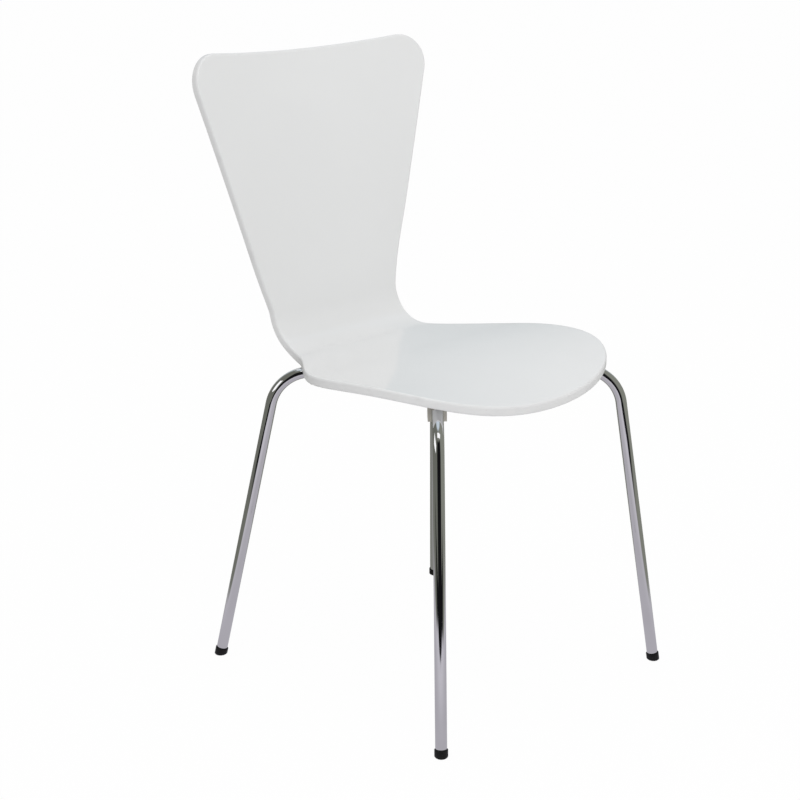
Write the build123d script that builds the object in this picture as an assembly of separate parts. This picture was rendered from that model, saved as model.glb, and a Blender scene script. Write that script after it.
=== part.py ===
from build123d import *
import os
from math import acos, cos, degrees, pi, radians, sin, sqrt, tan

# Stacking chair: a moulded plywood shell on a welded frame of two bent steel tubes.
# Millimetres, with +Z up. The sitter faces -Y and +X is the sitter's left. Angles are in degrees.
# Every y below is measured from the middle of the four feet. The raked back stands behind the
# feet, so the origin, on the floor under the middle of the whole chair, lies behind their middle.
origin_y = 25.5

# ---- Shell: thickness and side profile -------------------------------------------------------
shell_thickness = 12.5
shell_edge_round = 3.0
front_edge_y = -203.5
front_edge_height = 419.0
# The profile's slope at the seat's front edge, and at the end of each run after it.
front_edge_angle = 12.5
seat_front_angle = -4.0
seat_rear_angle = -2.5
bend_top_angle = 73.0
lumbar_top_angle = 82.0
back_top_angle = 79.0
seat_front_run = 244.0
seat_rear_run = 102.0
bend_radius = 60.0
lumbar_run = 114.0
back_run = 243.0
# The sheet is laid out wider and longer than its outline by this much, and then trimmed.
sheet_overhang = 30.0

# ---- Shell: curve from side to side ----------------------------------------------------------
front_crown_radius = 926.0
front_crown_fade_length = 290.0
back_crown_radius = 962.0
back_crown_blend_length = 160.0
back_crown_start_length = 40.0

# ---- Shell: outline of the seat, seen from above ---------------------------------------------
seat_width = 408.0
seat_widest_y = -24.0
nose_handle = 149.0
front_side_handle = 115.0
rear_side_handle = 113.0
waist_handle = 81.0
waist_width = 229.5
waist_lead = 6.0
# Share of the bend's turn at which the seat's outline hands over to the back's.
waist_turn_share = 0.72

# ---- Shell: outline of the back, seen square on, with heights above the waist ----------------
waist_straight = 23.0
flare_lower_handle = 10.0
flare_upper_handle = 30.0
taper_extra_width = 75.0
taper_start_height = 151.0
top_extra_width = 35.0
top_height = 380.1
top_corner_radius = 40.0
top_dip_depth = 6.5
# The straight sides begin wider than the waist, and the top corners stand wider than the seat.
taper_start_width = waist_width + taper_extra_width
top_width = seat_width + top_extra_width

# ---- Frame of two bent tubes -----------------------------------------------------------------
tube_diameter = 15.0
tube_wall = 1.5
front_foot_outset = 5.0
rear_foot_outset = 8.0
foot_y = 216.0
front_shoulder_inset = 35.4
front_shoulder_y = -166.8
rear_shoulder_inset = 54.5
rear_shoulder_y = 156.1
frame_center_y = 23.5
frame_rise_angle = 1.845
shoulder_bend_radius = 54.0
center_bend_radius = 45.0
tube_weld_gap = 0.2
# The feet stand a little outside the seat's sides, and the legs' tops well inside them.
front_foot_x = seat_width / 2 + front_foot_outset
rear_foot_x = seat_width / 2 + rear_foot_outset
front_shoulder_x = seat_width / 2 - front_shoulder_inset
rear_shoulder_x = seat_width / 2 - rear_shoulder_inset

# ---- Mounting plate, welds and gasket --------------------------------------------------------
plate_length = 100.0
plate_width = 84.0
plate_thickness = 3.0
plate_corner = 10.0
plate_seat_gap = 0.02
weld_leg = 7.0
weld_root = 2.5
weld_length = 15.0
gasket_center_thickness = 2.3
gasket_margin = 2.0
gasket_gap = 0.1

# ---- Screws, washers and threaded inserts ----------------------------------------------------
screw_spread_x = 76.0
screw_spread_y = 64.0
screw_diameter = 6.0
screw_head_diameter = 12.0
screw_head_height = 3.6
screw_drive_across = 4.0
screw_drive_depth = 2.2
screw_reach = 7.0
washer_diameter = 14.0
washer_thickness = 1.2
hole_clearance = 0.4
thread_gap = 0.02
insert_diameter = 9.0
insert_length = 8.5
insert_gap = 0.02
insert_setback = 0.3

# ---- Buffers between tube and shell ----------------------------------------------------------
buffer_length = 26.0
buffer_width = 24.0
buffer_skirt = 7.0
buffer_gap = 0.2
buffer_bend_clearance = 1.0
buffer_round = 2.0
buffer_mouth = 11.0

# ---- Foot glides -----------------------------------------------------------------------------
glide_diameter = 17.4
glide_sole = 5.5
glide_skirt = 5.0
glide_skirt_gap = 0.1
glide_spigot_length = 20.0
glide_spigot_gap = 0.1
glide_edge = 1.6

PROFILE_RUNS = [
    (seat_front_run, front_edge_angle, seat_front_angle),
    (seat_rear_run, seat_front_angle, seat_rear_angle),
    (bend_radius * radians(bend_top_angle - seat_rear_angle), seat_rear_angle, bend_top_angle),
    (lumbar_run, bend_top_angle, lumbar_top_angle),
    (back_run, lumbar_top_angle, back_top_angle),
]
profile_length = sum(run for run, start_slope, end_slope in PROFILE_RUNS)
bend_start = seat_front_run + seat_rear_run
bend_length = PROFILE_RUNS[2][0]


def profile(distance):
    """Side profile of the shell's upper face: y, z and slope in radians at a distance along it."""
    y = front_edge_y
    z = front_edge_height
    remaining = distance
    for index, (run, start_slope, end_slope) in enumerate(PROFILE_RUNS):
        is_last = index == len(PROFILE_RUNS) - 1
        step = remaining if is_last else min(remaining, run)
        turn_rate = radians(end_slope - start_slope) / run
        start = radians(start_slope)
        slope = start + turn_rate * step
        y += (sin(slope) - sin(start)) / turn_rate
        z += (cos(start) - cos(slope)) / turn_rate
        remaining -= step
        if remaining <= 0 and not is_last:
            break
    return y, z, slope


def ease(share):
    """Smooth step from 0 to 1."""
    share = min(max(share, 0.0), 1.0)
    return share * share * (3 - 2 * share)


def crown(x, distance):
    """How far the shell rises towards the sitter at x, from its curve from side to side."""
    front_share = 1 - ease(distance / front_crown_fade_length)
    back_start = bend_start + back_crown_start_length
    back_share = ease((distance - back_start) / back_crown_blend_length)
    return x * x / 2 * (front_share / front_crown_radius + back_share / back_crown_radius)


def shell_point(x, distance, depth):
    """Point of the shell at x, at a distance along the profile, and a depth below the face."""
    y, z, slope = profile(distance)
    height = crown(x, distance) - depth
    return Vector(x, y - sin(slope) * height, z + cos(slope) * height)


def shell_slab(upper_depth, lower_depth):
    """Untrimmed sheet between two depths below the shell's upper face, lofted from side to side."""
    station_count = 61
    section_count = 9
    half_span = (max(seat_width, top_width) + sheet_overhang) / 2
    span = profile_length + 2 * sheet_overhang
    stations = [span * i / (station_count - 1) - sheet_overhang for i in range(station_count)]
    sections = []
    for i in range(section_count):
        x = half_span * (2 * i / (section_count - 1) - 1)
        upper = [shell_point(x, distance, upper_depth) for distance in stations]
        lower = [shell_point(x, distance, lower_depth) for distance in reversed(stations)]
        edges = [Spline(*upper), Line(upper[-1], lower[0]), Spline(*lower), Line(lower[-1], upper[0])]
        sections.append(Wire(edges))
    return Solid.make_loft(sections)


def symmetric_face(half_outline):
    """Face bounded by a half outline on +X and its mirror image."""
    return make_face(half_outline + [edge.mirror(Plane.YZ) for edge in half_outline])


# Where the seat's outline hands over to the back's, and the plane across the sheet there.
waist_distance = bend_start + waist_turn_share * bend_length
waist_y, waist_z, waist_slope = profile(waist_distance)
waist_plane = Plane(
    origin=(0, waist_y, waist_z), x_dir=(1, 0, 0), z_dir=(0, cos(waist_slope), sin(waist_slope))
)


def seat_prism():
    """Upright prism of the seat's outline, up to the waist plane."""
    half_seat = seat_width / 2
    half_waist = waist_width / 2
    waist_start_y = waist_y - waist_lead
    past_waist_y = waist_y + bend_radius
    half_outline = [
        Bezier(
            (0, front_edge_y),
            (nose_handle, front_edge_y),
            (half_seat, seat_widest_y - front_side_handle),
            (half_seat, seat_widest_y),
        ),
        Bezier(
            (half_seat, seat_widest_y),
            (half_seat, seat_widest_y + rear_side_handle),
            (half_waist, waist_start_y - waist_handle),
            (half_waist, waist_start_y),
        ),
        Line((half_waist, waist_start_y), (half_waist, past_waist_y)),
        Line((half_waist, past_waist_y), (0, past_waist_y)),
    ]
    lowest = front_edge_height / 2
    prism = extrude(Pos(0, 0, lowest) * symmetric_face(half_outline), amount=front_edge_height)
    return split(prism, bisect_by=waist_plane, keep=Keep.BOTTOM)


def back_prism():
    """Prism of the back's outline, square to the upper back, above the waist plane."""
    half_waist = waist_width / 2
    below_waist = -bend_radius
    taper_start = Vector(taper_start_width / 2, taper_start_height)
    corner = Vector(top_width / 2, top_height)
    rising = (corner - taper_start).normalized()
    edge_fall = 2 * top_dip_depth / corner.X
    inward = Vector(-1, -edge_fall).normalized()
    turn = acos(rising.dot(inward))
    tangent_length = top_corner_radius * tan(turn / 2)
    arc_start = corner - rising * tangent_length
    arc_end = corner + inward * tangent_length
    arc_center = arc_start + Vector(-rising.Y, rising.X) * top_corner_radius
    arc_middle = arc_center + (corner - arc_center).normalized() * top_corner_radius
    dip_handle = Vector(arc_end.X / 2, arc_end.Y - edge_fall * arc_end.X / 2)
    half_outline = [
        Line((0, below_waist), (half_waist, below_waist)),
        Line((half_waist, below_waist), (half_waist, waist_straight)),
        Bezier(
            (half_waist, waist_straight),
            (half_waist, waist_straight + flare_lower_handle),
            taper_start - rising * flare_upper_handle,
            taper_start,
        ),
        Line(taper_start, arc_start),
        ThreePointArc(arc_start, arc_middle, arc_end),
        Bezier(arc_end, dip_handle, (0, dip_handle.Y)),
    ]
    slope = radians(back_top_angle)
    back_plane = Plane(
        origin=(0, waist_y, waist_z), x_dir=(1, 0, 0), z_dir=(0, -sin(slope), cos(slope))
    )
    prism = extrude(back_plane * symmetric_face(half_outline), amount=2 * bend_radius, both=True)
    return split(prism, bisect_by=waist_plane, keep=Keep.TOP)


def make_shell():
    """Moulded sheet trimmed to its outline, with its edges rounded and the insert holes drilled."""
    sheet = (shell_slab(0, shell_thickness) & (seat_prism() + back_prism())).solid()
    faces = sorted(sheet.faces(), key=lambda face: face.area)[-2:]
    sheet = sheet.fillet(shell_edge_round, [edge for face in faces for edge in face.edges()])
    for x, y in screw_places():
        hole_radius = insert_diameter / 2 + insert_gap
        hole_bottom = underside_level(x, y) - shell_thickness
        hole_depth = shell_thickness + insert_setback + insert_length + insert_gap
        hole = Cylinder(hole_radius, hole_depth, align=(Align.CENTER, Align.CENTER, Align.MIN))
        sheet -= plate_plane * Pos(x, y, hole_bottom) * hole
    return sheet.solid()


# ---- Frame layout ----------------------------------------------------------------------------
# Every run under the seat lies in one plane, which rises a little towards the front.
tube_radius = tube_diameter / 2


def underside_height(y):
    """Height of the shell's underside on the chair's middle line."""
    distance = y - front_edge_y
    for step in range(20):
        distance += y - shell_point(0, distance, shell_thickness).Y
    return shell_point(0, distance, shell_thickness).Z


# The runs' height in the middle leaves room for plate and gasket below the shell.
fitting_thickness = plate_seat_gap + plate_thickness + gasket_center_thickness
frame_center_height = underside_height(frame_center_y) - (tube_radius + fitting_thickness) / cos(
    radians(frame_rise_angle)
)
frame_plane = Plane(
    origin=(0, frame_center_y, frame_center_height),
    x_dir=(1, 0, 0),
    z_dir=(0, sin(radians(frame_rise_angle)), cos(radians(frame_rise_angle))),
)
plate_plane = frame_plane.offset(tube_radius + plate_seat_gap)


def in_frame_plane(x, y):
    """Point of the frame plane above or below a point of the floor."""
    return Vector(x, y, frame_center_height - (y - frame_center_y) * tan(radians(frame_rise_angle)))


front_shoulder = in_frame_plane(front_shoulder_x, front_shoulder_y)
rear_shoulder = in_frame_plane(rear_shoulder_x, rear_shoulder_y)
front_foot = Vector(front_foot_x, -foot_y, 0)
rear_foot = Vector(rear_foot_x, foot_y, 0)


def center_corner():
    """Corner of the two runs, placed so that the bend round it just clears the other tube."""
    corner = in_frame_plane(0, frame_center_y)
    for step in range(30):
        to_front = (front_shoulder - corner).normalized()
        to_rear = (rear_shoulder - corner).normalized()
        half_inside = acos(to_front.dot(to_rear)) / 2
        bisector = (to_front + to_rear).normalized()
        reach = center_bend_radius / sin(half_inside) * bisector.X - center_bend_radius
        corner = in_frame_plane(tube_radius + tube_weld_gap / 2 - reach, frame_center_y)
    return corner


def tube_end(foot, shoulder):
    """Centre of a tube's lower end, which stands on the glide's sole."""
    return foot + (shoulder - foot).normalized() * glide_sole


def make_tube():
    """One side tube: front leg, run to the middle of the seat and out again, rear leg."""
    corners = [
        tube_end(front_foot, front_shoulder),
        front_shoulder,
        center_corner(),
        rear_shoulder,
        tube_end(rear_foot, rear_shoulder),
    ]
    radii = [shoulder_bend_radius, center_bend_radius, shoulder_bend_radius]
    path = FilletPolyline(*corners, radius=radii)
    start = Plane(origin=corners[0], z_dir=corners[1] - corners[0])
    ring = Circle(tube_radius) - Circle(tube_radius - tube_wall)
    return sweep(start * ring, path=path).solid()


def solid_runs():
    """Both tubes' runs under the plate without their bores, to cut what sits round them."""
    corner = center_corner()
    path = FilletPolyline(front_shoulder, corner, rear_shoulder, radius=[center_bend_radius])
    start = Plane(origin=front_shoulder, z_dir=corner - front_shoulder)
    run = sweep(start * Circle(tube_radius), path=path).solid()
    return run + run.mirror(Plane.YZ)


# ---- Plate, gasket and fasteners, in the plate plane's own x and y ---------------------------
def screw_places():
    """The four screws stand on the plate's two middle lines."""
    return [
        (screw_spread_x / 2, 0),
        (-screw_spread_x / 2, 0),
        (0, screw_spread_y / 2),
        (0, -screw_spread_y / 2),
    ]


def underside_level(x, y):
    """Height of the shell's underside over a point of the plate plane, square to that plane."""
    level = 0.0
    for step in range(20):
        target = plate_plane.from_local_coords(Vector(x, y, level))
        distance = target.Y - front_edge_y
        for inner_step in range(20):
            distance += target.Y - shell_point(x, distance, shell_thickness).Y
        level = plate_plane.to_local_coords(shell_point(x, distance, shell_thickness)).Z
    return level


def upright_hole(diameter, height):
    """Cylinder standing on the local origin."""
    return Cylinder(diameter / 2, height, align=(Align.CENTER, Align.CENTER, Align.MIN))


def make_plate():
    """Rectangular plate with round corners and four clearance holes."""
    outline = RectangleRounded(plate_length, plate_width, plate_corner)
    hole = upright_hole(screw_diameter + 2 * hole_clearance, plate_thickness)
    plate = extrude(outline, amount=plate_thickness)
    for x, y in screw_places():
        plate -= Pos(x, y, 0) * hole
    return (plate_plane * plate).solid()


def make_gasket(below_shell):
    """Moulded gasket: flat on the plate, and curved on top to fit the shell's underside."""
    margin = 2 * gasket_margin
    outline = RectangleRounded(plate_length - margin, plate_width - margin, plate_corner)
    height = shell_thickness
    hole = upright_hole(screw_diameter + 2 * hole_clearance, height)
    gasket = extrude(outline, amount=height)
    for x, y in screw_places():
        gasket -= Pos(x, y, 0) * hole
    placed = plate_plane.offset(plate_thickness) * gasket
    return (placed & below_shell).solid()


def make_screws():
    """Four pan-head screws from below, through washer, plate and gasket into the inserts."""
    solids = []
    head_top = -washer_thickness
    for x, y in screw_places():
        tip = underside_level(x, y) + screw_reach
        head = Cylinder(
            screw_head_diameter / 2, screw_head_height, align=(Align.CENTER, Align.CENTER, Align.MAX)
        )
        head = fillet(head.edges().sort_by(Axis.Z)[0], screw_head_height / 2)
        socket = extrude(
            RegularPolygon(screw_drive_across / 2, 6, major_radius=False), amount=screw_drive_depth
        )
        shank = upright_hole(screw_diameter, tip - head_top)
        screw = head + shank - Pos(0, 0, -screw_head_height) * socket
        solids.append((plate_plane * Pos(x, y, head_top) * screw).solid())
    return solids


def make_washers():
    """Four plain washers under the plate."""
    washer = upright_hole(washer_diameter, washer_thickness)
    washer -= upright_hole(screw_diameter + hole_clearance, washer_thickness)
    return [
        (plate_plane * Pos(x, y, -washer_thickness) * washer).solid() for x, y in screw_places()
    ]


def make_inserts():
    """Four threaded inserts, set a little way into the shell's underside."""
    solids = []
    for x, y in screw_places():
        insert = upright_hole(insert_diameter, insert_length)
        insert -= upright_hole(screw_diameter + 2 * thread_gap, insert_length)
        level = underside_level(x, y) + insert_setback
        solids.append((plate_plane * Pos(x, y, level) * insert).solid())
    return solids


def make_welds(plate, runs):
    """Fillet welds in the notches between the plate and both sides of each run."""
    corner = center_corner()
    to_front = (front_shoulder - corner).normalized()
    to_rear = (rear_shoulder - corner).normalized()
    bend_reach = center_bend_radius / tan(acos(to_front.dot(to_rear)) / 2)
    section = Polygon(
        (weld_root, tube_radius + plate_thickness / 2),
        (weld_root + weld_leg, tube_radius + plate_thickness / 2),
        (weld_root + weld_leg, tube_radius),
        (tube_radius * cos(pi / 6), tube_radius * sin(pi / 6)),
        (weld_root, 0),
        align=None,
    )
    solids = []
    for outward in (to_front, to_rear):
        start = Plane(
            origin=corner + outward * bend_reach,
            x_dir=frame_plane.z_dir.cross(outward),
            z_dir=outward,
        )
        for face in (start * section, start * section.mirror(Plane.YZ)):
            block = extrude(face, amount=weld_length, dir=outward)
            bead = (block - runs - plate).solids().sort_by(SortBy.VOLUME)[-1]
            solids.append(bead)
            solids.append(bead.mirror(Plane.YZ))
    return solids


# ---- Buffers and glides ----------------------------------------------------------------------
def make_buffer(shoulder, below_shell):
    """Saddle that hangs over a run just inside its bend and bears up against the shell."""
    corner = center_corner()
    foot = front_foot if shoulder is front_shoulder else rear_foot
    inward = (corner - shoulder).normalized()
    leg = (foot - shoulder).normalized()
    half_inside = acos(inward.dot(leg)) / 2
    bend_reach = shoulder_bend_radius / tan(half_inside)
    start = shoulder + inward * (bend_reach + buffer_bend_clearance)
    upward = (frame_plane.z_dir - inward * frame_plane.z_dir.dot(inward)).normalized()
    section = Plane(origin=start, x_dir=upward.cross(inward), z_dir=inward)
    low = -(tube_radius + buffer_skirt)
    height = 2 * tube_diameter + buffer_skirt
    block = Rectangle(buffer_width, height, align=(Align.CENTER, Align.MIN))
    bore = Circle(tube_radius + buffer_gap)
    mouth = Rectangle(buffer_mouth, tube_radius + buffer_skirt, align=(Align.CENTER, Align.MAX))
    profile_face = section * (Pos(0, low) * block - bore - mouth)
    saddle = extrude(profile_face, amount=buffer_length, dir=inward).solid()
    upright = [
        edge
        for edge in saddle.edges()
        if abs(abs(edge.tangent_at(0.5).dot(upward)) - 1) < 0.01 and edge.length > tube_radius
    ]
    saddle = fillet(upright, buffer_round)
    return (saddle & below_shell).solid()


def make_glide(foot, shoulder):
    """Cap with a spigot inside the tube, a skirt round its end and a sole cut level by the floor."""
    up = (shoulder - foot).normalized()
    bore_radius = tube_radius - tube_wall
    overshoot = glide_diameter / 2
    body = Pos(0, 0, -overshoot) * upright_hole(glide_diameter, overshoot + glide_sole + glide_skirt)
    skirt_bore = upright_hole(tube_diameter + 2 * glide_skirt_gap, glide_skirt)
    spigot = upright_hole(2 * (bore_radius - glide_spigot_gap), glide_spigot_length)
    body = body - Pos(0, 0, glide_sole) * skirt_bore + Pos(0, 0, glide_sole) * spigot
    placed = Plane(origin=foot, z_dir=up) * body
    placed = split(placed, bisect_by=Plane.XY, keep=Keep.TOP).solid()
    sole = placed.faces().sort_by(Axis.Z)[0]
    return chamfer(sole.edges(), glide_edge).solid()


def write(name, *solids):
    """Write one node, which may hold several solids, in the chair's own frame."""
    placed = [Pos(0, -origin_y, 0) * solid for solid in solids]
    shape = placed[0] if len(placed) == 1 else Compound(children=placed)
    export_step(shape, os.path.join("parts", name + ".step"))


os.makedirs("parts", exist_ok=True)
under_space = shell_slab(shell_thickness + gasket_gap, shell_thickness + 4 * tube_diameter)
buffer_space = shell_slab(shell_thickness + buffer_gap, shell_thickness + 4 * tube_diameter)
left_tube = make_tube()
runs = solid_runs()
plate = make_plate()

write("seat_shell", make_shell())
write("left_side_tube", left_tube)
write("right_side_tube", left_tube.mirror(Plane.YZ))
write("mounting_plate", plate)
write("plate_welds", *make_welds(plate, runs))
write("seat_gasket", make_gasket(under_space))
write("mounting_screws", *make_screws())
write("screw_washers", *make_washers())
write("threaded_inserts", *make_inserts())
for end, foot, shoulder in (
    ("front", front_foot, front_shoulder),
    ("rear", rear_foot, rear_shoulder),
):
    buffer = make_buffer(shoulder, buffer_space)
    glide = make_glide(foot, shoulder)
    write(end + "_left_buffer", buffer)
    write(end + "_right_buffer", buffer.mirror(Plane.YZ))
    write(end + "_left_glide", glide)
    write(end + "_right_glide", glide.mirror(Plane.YZ))
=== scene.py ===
import bpy
import numpy as np
from bpy.props import FloatProperty, FloatVectorProperty, PointerProperty
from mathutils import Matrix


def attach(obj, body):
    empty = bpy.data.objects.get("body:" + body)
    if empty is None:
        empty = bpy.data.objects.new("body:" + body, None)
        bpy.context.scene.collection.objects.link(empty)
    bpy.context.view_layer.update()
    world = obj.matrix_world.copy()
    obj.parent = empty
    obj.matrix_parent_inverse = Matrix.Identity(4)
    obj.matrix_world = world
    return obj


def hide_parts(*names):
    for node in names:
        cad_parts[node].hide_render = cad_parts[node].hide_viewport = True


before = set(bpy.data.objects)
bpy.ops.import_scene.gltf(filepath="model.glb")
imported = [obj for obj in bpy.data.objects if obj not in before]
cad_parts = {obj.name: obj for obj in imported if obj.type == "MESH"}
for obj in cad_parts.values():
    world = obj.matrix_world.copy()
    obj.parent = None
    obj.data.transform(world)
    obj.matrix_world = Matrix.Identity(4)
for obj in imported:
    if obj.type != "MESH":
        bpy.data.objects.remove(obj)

bl_info = {
    "name": "Stacking chair",
    "version": (1, 0, 0),
    "blender": (4, 5, 0),
    "location": "3D View > Sidebar > Chair",
    "description": "Moulded plywood shell on a frame of two bent chromed tubes",
    "category": "Object",
}

# Everything is in metres, with +Z up. The sitter faces -Y and +X is the sitter's left.


def length(label, default):
    """A length property in metres."""
    return FloatProperty(name=label, default=default, unit="LENGTH", precision=4)


def slope(label, degrees):
    """An angle property, given in degrees."""
    return FloatProperty(name=label, default=float(np.radians(degrees)), unit="ROTATION")


def colour(label, default):
    """A colour property, linear."""
    return FloatVectorProperty(name=label, default=default, subtype="COLOR", min=0.0, max=1.0)


class ShellSizes(bpy.types.PropertyGroup):
    """Sizes of the moulded shell."""

    feet_middle_y: length("Where the middle of the feet lies along Y", -0.0255)
    thickness: length("Thickness of the moulded sheet", 0.0125)
    edge_round: length("Radius round the sheet's edges", 0.003)
    front_edge_y: length("Front edge, from the feet's middle", -0.2035)
    front_edge_height: length("Height of the seat's front edge", 0.419)
    front_slope: slope("Slope of the seat at its front edge", 12.5)
    seat_slope: slope("Slope where the seat's front run ends", -4.0)
    rear_slope: slope("Slope where the bend begins", -2.5)
    bend_slope: slope("Slope where the bend ends", 73.0)
    lumbar_slope: slope("Steepest slope, above the lumbar run", 82.0)
    back_slope: slope("Slope at the top of the back", 79.0)
    front_run: length("Length of the seat's front run", 0.244)
    rear_run: length("Length of the seat's rear run", 0.102)
    bend_radius: length("Radius of the bend from seat to back", 0.060)
    lumbar_run: length("Length of the lumbar run", 0.114)
    back_run: length("Length of the upper back", 0.243)
    front_crown: length("Radius of the seat from side to side at the front", 0.926)
    front_fade: length("Distance over which the seat's crown fades out", 0.290)
    back_crown: length("Radius of the back from side to side", 0.962)
    back_blend: length("Distance over which the back's crown comes in", 0.160)
    back_crown_start: length("Distance into the bend where the back's crown starts", 0.040)
    seat_width: length("Widest width of the seat", 0.408)
    seat_widest_y: length("Where the seat is widest, from the feet's middle", -0.024)
    nose_handle: length("Fullness of the front edge", 0.149)
    front_handle: length("Fullness of the front corners", 0.115)
    rear_handle: length("Fullness of the rear corners", 0.113)
    waist_handle: length("Length of the run into the waist", 0.081)
    waist_width: length("Width between seat and back", 0.2295)
    waist_lead: length("Straight length before the waist", 0.006)
    waist_share: FloatProperty(name="Share of the bend's turn at the waist", default=0.72)
    waist_straight: length("Straight length above the waist", 0.023)
    flare_lower: length("Fullness where the back begins to flare", 0.010)
    flare_upper: length("Fullness where the flare becomes straight", 0.030)
    taper_width: length("Width of the back where its straight sides begin", 0.3045)
    taper_height: length("Height above the waist where the straight sides begin", 0.151)
    top_width: length("Width of the back at its square top corners", 0.443)
    top_height: length("Height of the square top corners above the waist", 0.38005)
    corner_radius: length("Radius of the top corners", 0.040)
    top_dip: length("How far the top edge dips in the middle", 0.0065)


class FrameSizes(bpy.types.PropertyGroup):
    """Sizes of the tube frame, its glides and its buffers."""

    tube_diameter: length("Outer diameter of the tube", 0.015)
    tube_wall: length("Wall thickness of the tube", 0.0015)
    front_foot_x: length("Front foot from the middle", 0.209)
    rear_foot_x: length("Rear foot from the middle", 0.212)
    foot_y: length("Feet from their middle along Y", 0.216)
    front_shoulder_x: length("Corner of a front leg and its run, X", 0.1686)
    front_shoulder_y: length("Corner of a front leg and its run, Y", -0.1668)
    rear_shoulder_x: length("Corner of a rear leg and its run, X", 0.1495)
    rear_shoulder_y: length("Corner of a rear leg and its run, Y", 0.1561)
    center_y: length("Where the runs meet, from the feet's middle", 0.0235)
    center_height: length("Height of the runs where they meet", 0.412617)
    rise: slope("How far the runs rise towards the front", 1.845)
    shoulder_radius: length("Bend radius at a leg's top", 0.054)
    center_radius: length("Bend radius in the middle", 0.045)
    weld_gap: length("Gap between the tubes in the middle", 0.0002)
    glide_diameter: length("Outer diameter of a foot glide", 0.0174)
    glide_sole: length("Thickness under the tube's end", 0.0055)
    glide_skirt: length("Height of the skirt round the tube", 0.005)
    glide_edge: length("Chamfer round the sole", 0.0016)
    glide_spigot: length("Length of the spigot in the tube", 0.020)
    buffer_length: length("Length of a buffer along its run", 0.026)
    buffer_width: length("Width of a buffer across its run", 0.024)
    buffer_skirt: length("Depth of a buffer below the tube", 0.007)
    buffer_gap: length("Gap round the tube and below the shell", 0.0002)
    buffer_mouth: length("Width of the slot under the tube", 0.011)
    buffer_offset: length("Distance of a buffer from the bend", 0.001)


class Finishes(bpy.types.PropertyGroup):
    """Colours of the chair's finishes and of the studio."""

    lacquer: colour("White gloss lacquer on the shell", (0.80, 0.805, 0.805))
    # The edge lacquer is darker than the face lacquer: painted shade on the rim, which is the same white
    # lacquer.
    edge_lacquer_painted_shade: colour("Lacquer over the edges of the plies", (0.69, 0.685, 0.69))
    chrome: colour("Chromium plate", (0.80, 0.80, 0.815))
    glide: colour("Black plastic of the glides", (0.006, 0.006, 0.0065))
    buffer: colour("Grey-beige plastic of the buffers", (0.50, 0.48, 0.43))
    zinc: colour("Zinc-plated steel of screws and washers", (0.60, 0.61, 0.62))
    brass: colour("Threaded inserts", (0.62, 0.44, 0.19))
    gasket: colour("Black rubber gasket", (0.020, 0.020, 0.020))
    floor: colour("Pale studio floor", (0.88, 0.88, 0.88))
    mat: colour("Floor as polished metal shows it", (0.63, 0.61, 0.66))
    screen: colour("Screens as polished metal shows them", (0.175, 0.18, 0.155))
    back_screen: colour("Screen behind the chair, in reflections", (0.52, 0.58, 0.61))
    sky: colour("Cool light overhead, in reflections", (0.66, 0.75, 0.82))
    gap: colour("Dark space between floor and screens", (0.008, 0.008, 0.009))


# ---- Shader expressions ----


class Value:
    """A socket of a node tree. Arithmetic on it adds Math nodes."""

    def __init__(self, sheet, socket):
        self.sheet = sheet
        self.socket = socket

    def __add__(self, other):
        return self.sheet.math("ADD", self, other)

    def __sub__(self, other):
        return self.sheet.math("SUBTRACT", self, other)

    def __rsub__(self, other):
        return self.sheet.math("SUBTRACT", other, self)

    def __mul__(self, other):
        return self.sheet.math("MULTIPLY", self, other)

    def __abs__(self):
        return self.sheet.math("ABSOLUTE", self)

    __radd__ = __add__
    __rmul__ = __mul__


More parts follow.
